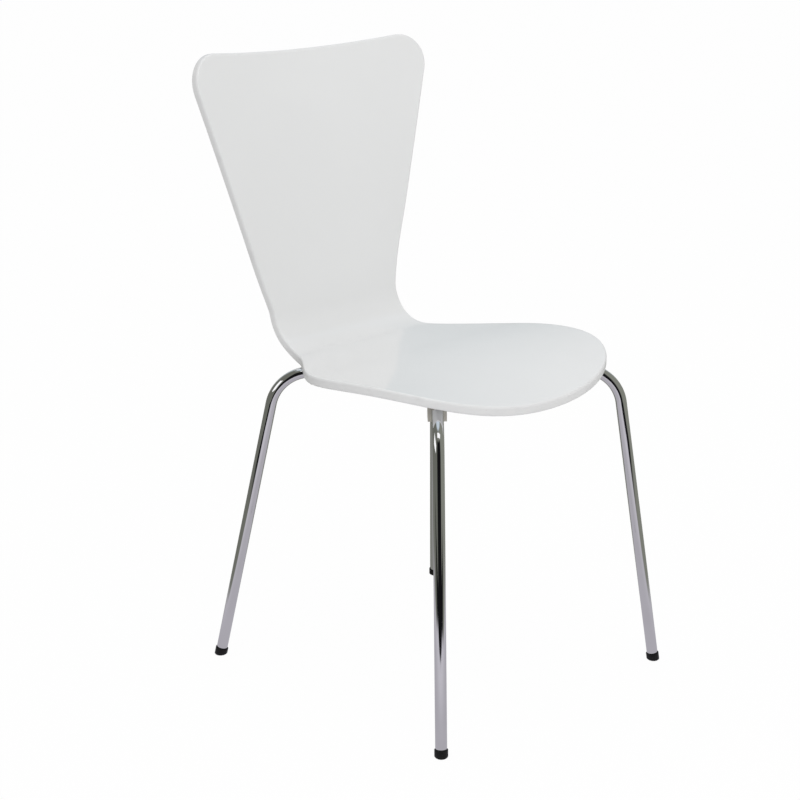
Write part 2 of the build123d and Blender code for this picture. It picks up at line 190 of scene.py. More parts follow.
class Sheet:
    """Adds nodes to the empty node tree of a material or a world."""

    def __init__(self, owner):
        owner.use_nodes = True
        owner.node_tree.nodes.clear()
        self.owner = owner
        self.tree = owner.node_tree

    def add(self, kind, settings=None, sockets=None, output=0):
        """Adds a shader node: settings are set first, then each socket gets its value or link."""
        node = self.tree.nodes.new("ShaderNode" + kind)
        for name, value in (settings or {}).items():
            setattr(node, name, value)
        for name, value in (sockets or {}).items():
            if isinstance(value, Value):
                self.tree.links.new(value.socket, node.inputs[name])
            else:
                node.inputs[name].default_value = value
        return Value(self, node.outputs[output]) if node.outputs else None

    def math(self, operation, *values):
        """A Math node on numbers and sockets."""
        return self.add("Math", {"operation": operation}, dict(enumerate(values)))

    def step(self, value, low, high):
        """Smooth step from 0 at low to 1 at high."""
        sockets = {"Value": value, "From Min": low, "From Max": high}
        return self.add("MapRange", {"interpolation_type": "SMOOTHSTEP"}, sockets)

    def fall(self, value, low, high):
        """Smooth step from 1 at low to 0 at high."""
        return 1 - self.step(value, low, high)

    def mix(self, share, first, second):
        """Colour mixed from first to second."""
        return self.add("Mix", {"data_type": "RGBA"}, {0: share, 6: first, 7: second}, 2)

    def place(self, stretch=(1.0, 1.0, 1.0)):
        """Object coordinates, stretched along each axis."""
        where = self.add("TexCoord", output=3)
        return self.add("VectorMath", {"operation": "MULTIPLY"}, {0: where, 1: stretch})

    def attribute(self, name):
        """A number kept in the mesh."""
        return self.add("Attribute", {"attribute_name": name}, output=2)

    def noise(self, where, scale, detail, roughness=0.5):
        """Noise from 0 to 1, about 0.5."""
        sockets = {"Vector": where, "Scale": scale, "Detail": detail, "Roughness": roughness}
        return self.add("TexNoise", sockets=sockets)

    def bump(self, height, distance, strength, normal=None):
        """Normal bent by a height, where distance is how far 1 rises, in metres."""
        sockets = {"Height": height, "Distance": distance, "Strength": strength}
        if normal is not None:
            sockets["Normal"] = normal
        return self.add("Bump", sockets=sockets)

    def glow(self, tone, strength=1.0):
        """An Emission shader."""
        return self.add("Emission", sockets={"Color": tone, "Strength": strength})

    def finish(self, shader):
        """Ends the material with its shader, and gives the material."""
        self.add("OutputMaterial", sockets={"Surface": shader})
        return self.owner

    def metal(self, tone, roughness, normal):
        """Ends the material as bare metal."""
        return self.surface(Base_Color=tone, Metallic=1.0, Roughness=roughness, Normal=normal)

    def surface(self, **sockets):
        """Ends the material with a Principled shader; a socket's spaces are written as _."""
        named = {name.replace("_", " "): value for name, value in sockets.items()}
        return self.finish(self.add("BsdfPrincipled", sockets=named))


def new_sheet(name):
    """The sheet of a new material."""
    return Sheet(bpy.data.materials.new(name))


def shade(value, factor=1.0):
    """A colour with full alpha, made darker or lighter by a factor."""
    return (*(min(1.0, channel * factor) for channel in value[:3]), 1.0)


# ---- Finishes ----

PLY_BANDS = 9
WORN_PLY = (0.55, 0.52, 0.46, 1.0)
HEAT_TINT = (0.42, 0.33, 0.25, 1.0)
DUST = (0.42, 0.41, 0.39, 1.0)
WHITE = (1.0, 1.0, 1.0, 1.0)


def lacquer_finish(lacquer, rim_painted_shade):
    """White gloss lacquer: a clear film over a satin white, with faint waves and orange peel.

    On the edge the plies telegraph as fine bands: height = sin(2 pi * bands * depth share)."""
    sheet = new_sheet("white_lacquer")
    where = sheet.place()
    depth = sheet.attribute("sheet_depth")
    edge = sheet.attribute("sheet_edge")
    cloud = sheet.noise(where, 5.0, 3.0)
    peel = sheet.noise(where, 420.0, 2.0)
    wave = sheet.noise(where, 24.0, 1.0)
    plies = sheet.math("SINE", depth * (2 * np.pi * PLY_BANDS))
    grain = sheet.noise(sheet.place((60.0, 60.0, 900.0)), 1.0, 3.0, 0.7)
    chips = sheet.step(sheet.noise(where, 190.0, 3.0, 0.65), 0.70, 0.74) * sheet.step(edge, 0.2, 0.6)
    rubbed = sheet.step(sheet.noise(where, 34.0, 3.0), 0.58, 0.72) * edge
    face = sheet.mix(sheet.step(cloud, 0.35, 0.65), shade(lacquer), shade(lacquer, 0.985))
    # The rim's tone is the face lacquer darkened: painted shade on the edge, with the ply bands and grain
    # mixed over it.
    rim_plies_and_painted_shade = sheet.mix(grain * 0.5 + plies * 0.18 + 0.3, shade(rim_painted_shade), shade(lacquer, 0.99))
    base = sheet.mix(edge, face, rim_plies_and_painted_shade)
    # Rubbed wear on the edge, in a tone a tenth darker than the painted-shade rim tone.
    base = sheet.mix(rubbed * 0.35, base, shade(rim_painted_shade, 0.90))
    skin = sheet.bump(peel, 0.000012, 0.6, sheet.bump(wave, 0.00025, 0.5))
    return sheet.surface(
        Base_Color=sheet.mix(chips * 0.5, base, WORN_PLY),
        Roughness=cloud * 0.08 + 0.30 + rubbed * 0.1,
        Normal=sheet.bump(plies * edge, 0.00003, 0.6, skin),
        Specular_IOR_Level=0.15,
        Coat_Weight=0.7 - rubbed * 0.2 - edge * 0.4,
        Coat_Roughness=0.055,
        Coat_Normal=skin,
    )


def chrome_finish(chrome):
    """Polished chromium plate, with polishing lines along the tube, faint haze and fine pits."""
    sheet = new_sheet("polished_chrome")
    stretched = {
        "X": sheet.attribute("around_cos") * 7.0,
        "Y": sheet.attribute("around_sin") * 7.0,
        "Z": sheet.attribute("along") * 14.0,
    }
    lines = sheet.noise(sheet.add("CombineXYZ", sockets=stretched), 1.0, 3.0, 0.6)
    where = sheet.place()
    haze = sheet.noise(where, 16.0, 4.0, 0.6)
    pits = sheet.step(sheet.noise(where, 900.0, 2.0), 0.76, 0.80)
    base = sheet.mix(sheet.step(haze, 0.3, 0.7), shade(chrome), shade(chrome, 0.955))
    base = sheet.mix(pits * 0.35, base, shade(chrome, 0.45))
    roughness = sheet.step(haze, 0.4, 0.8) * 0.035 + lines * 0.02 + 0.025
    return sheet.metal(base, roughness, sheet.bump(lines, 0.000004, 0.5, sheet.bump(pits, 0.00001, 0.4)))


def plate_finish(chrome):
    """Chromium plate on the pressed plate: duller, stained and with brushing marks."""
    sheet = new_sheet("plate_chrome")
    brushing = sheet.noise(sheet.place((12.0, 700.0, 700.0)), 1.0, 4.0, 0.6)
    stain = sheet.noise(sheet.place(), 60.0, 4.0, 0.6)
    base = sheet.mix(sheet.step(stain, 0.35, 0.75), shade(chrome, 0.92), shade(chrome, 0.66))
    roughness = brushing * 0.12 + stain * 0.12 + 0.10
    return sheet.metal(base, roughness, sheet.bump(brushing, 0.00001, 0.5))


def weld_finish(chrome):
    """Weld bead under plate: ripples in rings and a brownish heat tint."""
    sheet = new_sheet("weld_bead")
    where = sheet.place()
    rings = {"wave_type": "RINGS", "rings_direction": "Z"}
    sockets = {"Vector": where, "Scale": 150.0, "Distortion": 6.0, "Detail": 2.0}
    ripple = sheet.add("TexWave", rings, sockets, output=1)
    heat = sheet.noise(where, 120.0, 3.0)
    base = sheet.mix(sheet.step(heat, 0.3, 0.7), shade(chrome, 0.62), HEAT_TINT)
    roughness = heat * 0.25 + 0.18
    return sheet.metal(base, roughness, sheet.bump(ripple, 0.0004, 0.8))


def zinc_finish(zinc):
    """Zinc plate: crystalline mottling and small scuffs."""
    sheet = new_sheet("zinc_plate")
    cells = {"Vector": sheet.place(), "Scale": 900.0}
    crystal = sheet.add("TexVoronoi", {"feature": "F1"}, cells, output=1)
    tone = sheet.add("SeparateColor", sockets={0: crystal})
    scuff = sheet.step(sheet.noise(sheet.place((1400.0, 90.0, 300.0)), 1.0, 3.0), 0.60, 0.72)
    base = sheet.mix(tone * 0.6, shade(zinc), shade(zinc, 0.78))
    base = sheet.mix(scuff * 0.4, base, shade(zinc, 1.25))
    roughness = tone * 0.15 + 0.24 - scuff * 0.08
    return sheet.metal(base, roughness, sheet.bump(tone, 0.00002, 0.4))


def brass_finish(brass):
    """Turned brass, a little tarnished, with fine turning rings."""
    sheet = new_sheet("turned_brass")
    rings = sheet.noise(sheet.place((40.0, 40.0, 2600.0)), 1.0, 2.0)
    tarnish = sheet.noise(sheet.place(), 260.0, 4.0, 0.6)
    base = sheet.mix(sheet.step(tarnish, 0.4, 0.7), shade(brass), shade(brass, 0.6))
    roughness = rings * 0.15 + tarnish * 0.2 + 0.15
    return sheet.metal(base, roughness, sheet.bump(rings, 0.00003, 0.5))


def moulded_finish(name, tone, roughness, bloom):
    """Moulded plastic or rubber: a spark-eroded grain, faint flow marks and a bloom of dust."""
    sheet = new_sheet(name)
    where = sheet.place()
    grain = sheet.noise(where, 1500.0, 2.0)
    flow = sheet.noise(where, 90.0, 3.0)
    dust = sheet.step(sheet.noise(where, 420.0, 4.0, 0.7), 0.55, 0.75)
    base = sheet.mix(sheet.step(flow, 0.3, 0.7), shade(tone), shade(tone, 0.88))
    base = sheet.mix(dust * bloom, base, DUST)
    return sheet.surface(
        Base_Color=base,
        Roughness=flow * 0.12 + grain * 0.08 + roughness,
        Normal=sheet.bump(grain, 0.00003, 0.5, sheet.bump(flow, 0.0001, 0.3)),
        Specular_IOR_Level=0.25,
    )


# ---- Mesh helpers ----

UP = np.array([0.0, 0.0, 1.0])
# Each side of the sitter, and whether it is mirrored to -X.
SIDES = (("left", False), ("right", True))


def grid_faces(rows, columns, wrap_rows=False, wrap_columns=False):
    """Quads of a grid of points numbered row by row, joined round where a side wraps."""
    i = np.arange(rows if wrap_rows else rows - 1)
    j = np.arange(columns if wrap_columns else columns - 1)
    i, j = np.meshgrid(i * columns, j, indexing="ij")
    next_i = (i + columns) % (rows * columns)
    next_j = (j + 1) % columns
    return np.stack((i + j, i + next_j, next_i + next_j, next_i + j), -1).reshape(-1, 4)


def new_thing(name, data):
    """An object of the scene."""
    thing = bpy.data.objects.new(name, data)
    bpy.context.scene.collection.objects.link(thing)
    return thing


def mesh_object(name, points, quads, material, attributes=None):
    """An object of arrays of points and quads, with numbers kept at its points."""
    mesh = bpy.data.meshes.new(name)
    mesh.vertices.add(len(points))
    mesh.vertices.foreach_set("co", points.astype(np.float32).ravel())
    mesh.loops.add(quads.size)
    mesh.loops.foreach_set("vertex_index", quads.astype(np.int32).ravel())
    mesh.polygons.add(len(quads))
    mesh.polygons.foreach_set("loop_start", np.arange(0, quads.size, 4, dtype=np.int32))
    for label, values in (attributes or {}).items():
        layer = mesh.attributes.new(label, "FLOAT", "POINT")
        layer.data.foreach_set("value", values.astype(np.float32).ravel())
    mesh.update(calc_edges=True)
    mesh.validate()
    mesh.materials.append(material)
    return new_thing(name, mesh)


def mesh_piece(name, points, quads, material, nodes, attributes=None, sharp=None):
    """A smooth piece that rides on the frame and stands for CAD nodes."""
    piece = mesh_object(name, points, quads, material, attributes)
    piece.data.shade_smooth()
    if sharp is not None:
        piece.data.set_sharp_from_angle(angle=sharp)
    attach(piece, "root")
    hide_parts(*nodes)
    return piece


def unit(vectors):
    """Vectors scaled to length 1."""
    return vectors / np.linalg.norm(vectors, axis=-1, keepdims=True)


def between(share, first, last):
    """Straight blend from first to last."""
    return (1 - share) * first + share * last


def curve(points, share):
    """Bezier curve: straight blends of neighbours, until one point is left."""
    share = share.reshape(-1, 1)
    while len(points) > 1:
        points = [between(share, first, last) for first, last in zip(points[:-1], points[1:])]
    return points[0]


def ease(share):
    """Smooth step from 0 to 1: u * u * (3 - 2 u)."""
    share = np.clip(share, 0.0, 1.0)
    return share * share * (3 - 2 * share)


def joined(runs):
    """Runs laid end to end, each without its first item, where it meets the one before."""
    return np.concatenate([runs[0], *(run[1:] for run in runs[1:])])


def running(steps):
    """Running total of steps, from 0."""
    return np.concatenate([[0.0], np.cumsum(steps)])


def distances(points):
    """Distance walked along a line, at each of its points."""
    return running(np.linalg.norm(np.diff(points, axis=0), axis=1))


def turns(count):
    """Angles round a circle."""
    return np.linspace(0.0, 2 * np.pi, count + 1)[:-1]


def spokes(way, side, turn):
    """Unit vectors square to a way, at angles from its side vector."""
    third = np.cross(way, side)[..., None, :]
    return side[..., None, :] * np.cos(turn)[:, None] + third * np.sin(turn)[:, None]


def sided(points, quads, mirror):
    """Points and quads as they are, or mirrored to -X."""
    return (points * (-1.0, 1.0, 1.0), quads[:, ::-1]) if mirror else (points, quads)


def moved_in(line, inset, end, direction):
    """A line moved by inset to the left of its way, with the way at one end given."""
    way = np.gradient(line, axis=0)
    way[end] = direction
    way = unit(way)
    return line + inset * np.stack([-way[:, 1], way[:, 0]], -1)


# ---- Shell ----

NEWTON_STEPS = 14
LEAST_COSINE = 0.5


class Shell:
    """The moulded sheet as a function of x, the distance s along its side profile, and depth.

    A point is profile(s) + normal(s) * (crown(x, s) - depth), with the profile made of arcs."""

    def __init__(self, sizes):
        self.sizes = sizes
        bend = sizes.bend_radius * (sizes.bend_slope - sizes.rear_slope)
        runs = [sizes.front_run, sizes.rear_run, bend, sizes.lumbar_run, sizes.back_run]
        self.knots = running(runs)
        ends = ("front", "seat", "rear", "bend", "lumbar", "back")
        self.slopes = np.array([getattr(sizes, end + "_slope") for end in ends])
        self.turn = np.diff(self.slopes) / runs
        front_y = sizes.front_edge_y + sizes.feet_middle_y
        self.y = front_y + running(np.diff(np.sin(self.slopes)) / self.turn)
        self.z = sizes.front_edge_height - running(np.diff(np.cos(self.slopes)) / self.turn)
        self.waist_s = self.knots[2] + sizes.waist_share * bend
        self.waist = np.concatenate(self.profile(np.array([self.waist_s]))[:2])

    def profile(self, s):
        """y, z and slope on arcs: slope grows evenly with s, and y and z are its integrals."""
        run = np.clip(np.searchsorted(self.knots, s, side="right") - 1, 0, len(self.turn) - 1)
        start = self.slopes[run]
        angle = start + self.turn[run] * (s - self.knots[run])
        y = self.y[run] + (np.sin(angle) - np.sin(start)) / self.turn[run]
        z = self.z[run] + (np.cos(start) - np.cos(angle)) / self.turn[run]
        return y, z, angle

    def point(self, x, s, depth):
        """Points of the sheet."""
        sizes = self.sizes
        y, z, angle = self.profile(s)
        front = (1 - ease(s / sizes.front_fade)) / sizes.front_crown
        back_start = self.knots[2] + sizes.back_crown_start
        back = ease((s - back_start) / sizes.back_blend) / sizes.back_crown
        lift = x * x / 2 * (front + back) - depth
        return np.stack([x, y - np.sin(angle) * lift, z + np.cos(angle) * lift], -1)

    def s_at_y(self, x, y, depth):
        """s of the point over a place on the floor, by Newton steps."""
        s = np.interp(y, self.y, self.knots)
        for _ in range(NEWTON_STEPS):
            short = y - self.point(x, s, depth)[:, 1]
            s = s + short / np.maximum(np.cos(self.profile(s)[2]), LEAST_COSINE)
        return s

    def s_at_height(self, x, height, depth):
        """s of the point at a height above the waist along the back, by Newton steps."""
        slope = self.sizes.back_slope
        up = np.array([np.cos(slope), np.sin(slope)])
        s = self.waist_s + height
        for _ in range(NEWTON_STEPS):
            short = height - (self.point(x, s, depth)[:, 1:] - self.waist) @ up
            s = s + short / np.maximum(np.cos(self.profile(s)[2] - slope), LEAST_COSINE)
        return s

    def half_outline(self, inset, depth, count=900):
        """x and s of the outline's half on +X, from front to top, moved inwards by inset.

        Seen from above, the seat is two Bezier curves. Seen square to the back, the back is a
        Bezier curve, a straight side, a corner arc and a shallow Bezier curve across its top.
        Between the two, x and s change evenly."""
        sizes = self.sizes
        share = np.linspace(0.0, 1.0, count)
        across, onward = np.eye(2)
        front = np.array([0.0, sizes.front_edge_y + sizes.feet_middle_y])
        widest = np.array([sizes.seat_width / 2, sizes.seat_widest_y + sizes.feet_middle_y])
        waist = np.array([sizes.waist_width / 2, self.waist[0] - sizes.waist_lead])
        nose = [front, front + across * sizes.nose_handle, widest - onward * sizes.front_handle, widest]
        side = [widest, widest + onward * sizes.rear_handle, waist - onward * sizes.waist_handle, waist]
        low = np.array([sizes.waist_width / 2, sizes.waist_straight])
        taper = np.array([sizes.taper_width / 2, sizes.taper_height])
        corner = np.array([sizes.top_width / 2, sizes.top_height])
        rising = unit(corner - taper)
        fall = 2 * sizes.top_dip / corner[0]
        inward = unit(np.array([-1.0, -fall]))
        turn = np.arccos(rising @ inward)
        reach = sizes.corner_radius * np.tan(turn / 2)
        arc_start, arc_end = corner - rising * reach, corner + inward * reach
        square = np.array([-rising[1], rising[0]])
        angle = turn * share[:, None]
        arc = arc_start + sizes.corner_radius * (rising * np.sin(angle) + square * (1 - np.cos(angle)))
        dip = np.array([arc_end[0] / 2, arc_end[1] - fall * arc_end[0] / 2])
        flare = [low, low + onward * sizes.flare_lower, taper - rising * sizes.flare_upper, taper]
        top = [arc_end, dip, dip * onward]
        seat = joined([curve(nose, share), curve(side, share)])
        back = joined([curve(flare, share), curve([taper, arc_start], share), arc, curve(top, share)])
        seat = moved_in(seat, inset, 0, (1.0, 0.0))
        back = moved_in(back, inset, -1, (-1.0, -fall))
        back[-1, 0] = 0.0
        seat[:, 1] = self.s_at_y(seat[:, 0], seat[:, 1], depth)
        back[:, 1] = self.s_at_height(back[:, 0], back[:, 1], depth)
        return joined([seat, curve([seat[-1], back[0]], share), back]).T


def shell_mesh(sizes, across=104, rise=216, rounding=7, wall=3, nose_slope=0.38):
    """Points, quads, depth share and edge share of the closed shell.

    Both faces are Coons patches in x and s: each inner point is the sum of the two straight
    blends between opposite borders, less the blend of the four corners. Rings round the edge
    follow quarter circles of the edge radius and the wall between them."""
    shell = Shell(sizes)
    thickness, radius = sizes.thickness, sizes.edge_round
    base_x, base_s = shell.half_outline(0.0, 0.0)
    walked = distances(shell.point(base_x, base_s, 0.0))
    index = np.arange(len(walked), dtype=float)
    # The patch's corners: where the nose turns into the side, and the middle of the top corner.
    quarter = len(walked) // 4
    nose_end = np.interp(1 - nose_slope, 1 - np.gradient(base_x, walked)[:quarter], walked[:quarter])
    top_start = walked[np.argmax(base_x + base_s * (base_s > shell.knots[3]))]
    half = across // 2
    stops = [(0.0, nose_end, half), (nose_end, top_start, rise), (top_start, walked[-1], half)]
    stops = joined([np.linspace(start, end, count + 1) for start, end, count in stops])
    picked = np.interp(stops, walked, index)

    def ring(inset, depth):
        """Closed ring of x and s, anticlockwise from the front middle, seen from the sitter."""
        outline = shell.half_outline(inset, depth)
        line = np.stack([np.interp(picked, index, part) for part in outline], -1)
        line[[0, -1], 0] = 0.0
        return np.concatenate([line, line[-2:0:-1] * (-1.0, 1.0)])

    def patch(inset, depth):
        """Coons patch inside a ring, as points numbered in rows from -X to +X."""
        flat = ring(inset, depth)
        front = np.roll(flat, half, axis=0)[: across + 1]
        plus = flat[half : half + rise + 1]
        back = flat[half + rise : half + rise + across + 1][::-1]
        minus = flat[::-1][half - 1 : half + rise]
        u = np.linspace(0.0, 1.0, across + 1)[None, :, None]
        v = np.linspace(0.0, 1.0, rise + 1)[:, None, None]
        inner = between(v, front, back) + between(u, minus[:, None], plus[:, None])
        corners = between(v, between(u, front[0], front[-1]), between(u, back[0], back[-1]))
        x, s = (inner - corners).reshape(-1, 2).T
        return shell.point(x, s, depth)

    angles = np.linspace(0.0, np.pi / 2, rounding + 1)[1:]
    inset, depth = radius * (1 - np.sin(angles)), radius * (1 - np.cos(angles))
    straight = np.linspace(radius, thickness - radius, wall + 1)[1:-1]
    insets = np.concatenate([inset, 0 * straight, inset[::-1]])
    depths = np.concatenate([depth, straight, thickness - depth[::-1]])
    rings = [shell.point(*ring(inset, depth).T, depth) for inset, depth in zip(insets, depths)]
    points = np.concatenate([patch(radius, 0.0), patch(radius, thickness), *rings])

    number = np.arange((rise + 1) * (across + 1)).reshape(rise + 1, across + 1)
    sides = [number[0, half:], number[:, -1], number[-1, ::-1], number[::-1, 0], number[0, : half + 1]]
    border = joined(sides)[None, :-1]
    count = border.size
    ring_numbers = np.arange(len(rings) * count).reshape(-1, count) + 2 * number.size
    loops = np.concatenate([border, ring_numbers, border + number.size])
    edge_faces = loops.ravel()[grid_faces(len(loops), count, wrap_columns=True)]
    face = grid_faces(rise + 1, across + 1)
    quads = np.concatenate([face, face[:, ::-1] + number.size, edge_faces[:, ::-1]])
    depth_share = np.repeat([0.0, 1.0, *depths / thickness], [number.size] * 2 + [count] * len(rings))
    edge_share = np.repeat([0.0, *1 - insets / radius], [2 * number.size] + [count] * len(rings))
    return points, quads, depth_share, edge_share


# ---- Tubes, glides and buffers ----

SHARP = np.radians(50)
GLIDE_SHARP = np.radians(35)
BUFFER_EDGE = 0.0006
# Rounds after which the tube's middle corner and a buffer's top stay where they are.
CENTER_ROUNDS = 30
TOP_ROUNDS = 12


class Frame:
    """Corners of the tube on +X, in metres."""

    def __init__(self, scene):
        self.sizes = sizes = scene.chair_frame
        self.shift = np.array([0.0, scene.chair_shell.feet_middle_y, 0.0])
        self.front_foot = np.array([sizes.front_foot_x, -sizes.foot_y, 0.0]) + self.shift
        self.rear_foot = np.array([sizes.rear_foot_x, sizes.foot_y, 0.0]) + self.shift
        self.front_shoulder = self.in_plane(sizes.front_shoulder_x, sizes.front_shoulder_y)
        self.rear_shoulder = self.in_plane(sizes.rear_shoulder_x, sizes.rear_shoulder_y)
        self.up = np.array([0.0, np.sin(sizes.rise), np.cos(sizes.rise)])
        self.center = self.in_plane(0.0, sizes.center_y)
        for _ in range(CENTER_ROUNDS):
            to_front = unit(self.front_shoulder - self.center)
            to_rear = unit(self.rear_shoulder - self.center)
            half_inside = np.arccos(to_front @ to_rear) / 2
            bisector = unit(to_front + to_rear)
            reach = sizes.center_radius * (bisector[0] / np.sin(half_inside) - 1)
            x = (sizes.tube_diameter + sizes.weld_gap) / 2 - reach
            self.center = self.in_plane(x, sizes.center_y)

    def in_plane(self, x, y):
        """Point of the plane of the runs, which rises towards the front."""
        sizes = self.sizes
        height = sizes.center_height - (y - sizes.center_y) * np.tan(sizes.rise)
        return np.array([x, y, height]) + self.shift

    def tube_end(self, foot, shoulder):
        """Centre of a tube's lower end, on the glide's sole."""
        return foot + unit(shoulder - foot) * self.sizes.glide_sole

    def legs(self):
        """Each leg's name, foot and shoulder on +X, and whether it is mirrored."""
        ends = (("front", self.front_foot, self.front_shoulder), ("rear", self.rear_foot, self.rear_shoulder))
        for end, foot, shoulder in ends:
            for side, mirror in SIDES:
                yield f"{end}_{side}", foot, shoulder, mirror


def bent_path(corners, radii, straight_step=0.012, turn_step=np.radians(2.0)):
    """Points, ways and sideways vectors along straight runs joined by tangent arcs.

    In an arc, each vector turns round the arc's axis k by the angle a:
    v cos a + (k x v) sin a + k (k . v) (1 - cos a)."""
    way = unit(corners[1] - corners[0])
    side = unit(np.cross(way, UP))
    start = corners[0]
    runs = []
    for corner, following, radius in zip(corners[1:], corners[2:] + [None], radii + [None]):
        end = corner
        if following is not None:
            next_way = unit(following - corner)
            turn = np.arccos(np.clip(way @ next_way, -1.0, 1.0))
            end = corner - way * radius * np.tan(turn / 2)
        steps = max(2, int(np.ceil(np.linalg.norm(end - start) / straight_step)))
        share = np.linspace(0.0, 1.0, steps + 1)[:, None]
        if runs:
            share = share[1:]
        runs.append((start + (end - start) * share, way + 0 * share, side + 0 * share))
        if following is None:
            break
        axis = unit(np.cross(way, next_way))
        inward = np.cross(axis, way)
        steps = max(2, int(np.ceil(turn / turn_step)))
        angle = np.linspace(0.0, turn, steps + 1)[1:, None]
        arc = end + radius * (inward + way * np.sin(angle) - inward * np.cos(angle))
        ways = way * np.cos(angle) + inward * np.sin(angle)
        sides = side * np.cos(angle) + np.cross(axis, side) * np.sin(angle)
        sides = sides + axis * (axis @ side) * (1 - np.cos(angle))
        runs.append((arc, ways, sides))
        start, way, side = arc[-1], next_way, sides[-1]
    return [np.concatenate(part) for part in zip(*runs)]


def tube_mesh(chair, mirror, lip=0.0003, around=48):
    """Closed tube: circles carried along the bent path outside, and back along it inside."""
    sizes = chair.sizes
    corners = [
        chair.tube_end(chair.front_foot, chair.front_shoulder),
        chair.front_shoulder,
        chair.center,
        chair.rear_shoulder,
        chair.tube_end(chair.rear_foot, chair.rear_shoulder),
    ]
    radii = [sizes.shoulder_radius, sizes.center_radius, sizes.shoulder_radius]
    points, ways, sides = bent_path(corners, radii)
    outer = sizes.tube_diameter / 2
    count = len(points)
    station = np.arange(count)
    order = np.concatenate([[0], station, [count - 1], station[::-1]])
    bore = outer - sizes.tube_wall
    radius = np.repeat([outer - lip, outer, outer - lip, bore], [1, count, 1, count])
    centers, way = points[order], ways[order]
    centers[1] += way[1] * lip
    centers[count] -= way[count] * lip
    turn = turns(around)
    grid = centers[:, None] + spokes(way, sides[order], turn) * radius[:, None, None]
    quads = grid_faces(len(order), len(turn), wrap_rows=True, wrap_columns=True)
    # The way round is kept as a cosine and a sine, so that it has no jump where it closes.
    attributes = {
        "along": np.repeat(distances(points)[order], len(turn)),
        "around_cos": np.tile(np.cos(turn), len(order)),
        "around_sin": np.tile(np.sin(turn), len(order)),
    }
    return *sided(grid.reshape(-1, 3), quads[:, ::-1], mirror), attributes


def glide_mesh(sizes, foot, shoulder, mirror, lip=0.0005, gap=0.0001, crease=0.0002, around=56):
    """Closed glide turned round the leg's axis, with its sole cut level.

    A profile point is a radius with either a height along the axis, or a height above the floor
    h, which the axis reaches at t = (h - radius * spoke.z) / axis.z."""
    up = unit(shoulder - foot)
    outer, edge, sole = sizes.glide_diameter / 2, sizes.glide_edge, sizes.glide_sole
    bore = sizes.tube_diameter / 2 + gap
    spigot = bore - sizes.tube_wall - 2 * gap
    top, tip = sole + sizes.glide_skirt, sole + sizes.glide_spigot
    # The sole and its chamfer, then the skirt's rounded rim, the bore and the spigot.
    level = [(0.0, 0.0), (outer * 0.5, 0.0), (outer - edge - crease, 0.0), (outer - edge, crease * 0.2)]
    level += [(outer - edge * 0.5, edge * 0.45), (outer - crease * 0.6, edge * 0.94), (outer, edge + crease)]
    quarter = np.linspace(0.0, np.pi / 2, 5)
    along = [(outer - lip + lip * np.cos(a), top - lip + lip * np.sin(a)) for a in quarter]
    along += [(bore + crease, top), (bore, top - crease), (bore, sole + gap), (bore - gap, sole)]
    along += [(spigot, sole), (spigot, tip - 2 * lip), (spigot - 2 * lip, tip), (0.0, tip)]
    radius, height = np.array(level + along).T[..., None]
    turn = turns(around)
    spoke = spokes(up, unit(np.cross(up, UP)), turn)
    from_floor = np.arange(len(radius))[:, None] < len(level)
    height = np.where(from_floor, (height - radius * spoke[:, 2]) / up[2], height)
    grid = foot + radius[..., None] * spoke + height[..., None] * up
    quads = grid_faces(len(radius), len(turn), wrap_columns=True)
    return sided(grid.reshape(-1, 3), quads[:, ::-1], mirror)


def buffer_mesh(chair, shell, foot, shoulder, mirror, steps=14, layers=10):
    """Closed saddle over a run: a U-shaped section in i from lip to lip and j from bore to
    outside, carried along the run in k, with its top on the shell's underside."""
    sizes = chair.sizes
    inward = unit(chair.center - shoulder)
    leg = unit(foot - shoulder)
    bend_reach = sizes.shoulder_radius / np.tan(np.arccos(inward @ leg) / 2)
    start = shoulder + inward * (bend_reach + sizes.buffer_offset)
    up = unit(chair.up - inward * (chair.up @ inward))
    side = np.cross(up, inward)
    bore = sizes.tube_diameter / 2 + sizes.buffer_gap
    low = -(sizes.tube_diameter / 2 + sizes.buffer_skirt)
    half, mouth = sizes.buffer_width / 2, sizes.buffer_mouth / 2
    # Shares of the way round the U: up one cheek, over the top, and down the other.
    share = np.linspace(-1.0, 1.0, 41)
    top_share, cheek_end = 0.36, 0.96
    angle = share * (np.pi - np.arcsin(mouth / bore))
    inner = np.stack([bore * np.sin(angle), bore * np.cos(angle)], -1)
    inner = np.concatenate([[(-mouth, low)], inner, [(mouth, low)]])
    outer_x = half * np.concatenate([[-1.0], np.clip(share / top_share, -1.0, 1.0), [1.0]])
    drop = np.clip((np.abs(share) - top_share) / (1 - top_share), 0.0, 1.0)
    drop = np.concatenate([[1.0], drop * cheek_end, [1.0]])
    middle = start + inward * np.linspace(0.0, sizes.buffer_length, steps + 1)[:, None]
    middle = middle[:, None]
    flat = middle + side * outer_x[:, None]
    depth = shell.sizes.thickness + sizes.buffer_gap
    height = np.full(flat.shape[:2], bore)
    for _ in range(TOP_ROUNDS):
        raised = flat + up * height[..., None]
        x, y = raised[..., 0].ravel(), raised[..., 1].ravel()
        under = shell.point(x, shell.s_at_y(x, y, depth), depth)[:, 2].reshape(height.shape)
        height = height + (under - raised[..., 2]) / up[2]
    outside = flat + up * between(drop, height, low)[..., None]
    inside = middle + side * inner[:, :1] + up * inner[:, 1:]
    layer = np.linspace(0.0, 1.0, layers + 1)[:, None]
    block = between(layer, inside[:, :, None], outside[:, :, None])
    number = np.arange(block.size // 3).reshape(block.shape[:3])

    def skin(face, flip):
        """Quads of one side of the block."""
        quads = face.ravel()[grid_faces(*face.shape)]
        return quads[:, ::-1] if flip else quads

    ends = [skin(number[0], False), skin(number[-1], True)]
    lips = [skin(number[:, 0], True), skin(number[:, -1], False)]
    walls = [skin(number[:, :, 0], False), skin(number[:, :, -1], True)]
    used, quads = np.unique(np.concatenate(ends + lips + walls), return_inverse=True)
    return sided(block.reshape(-1, 3)[used], quads.reshape(-1, 4), mirror)


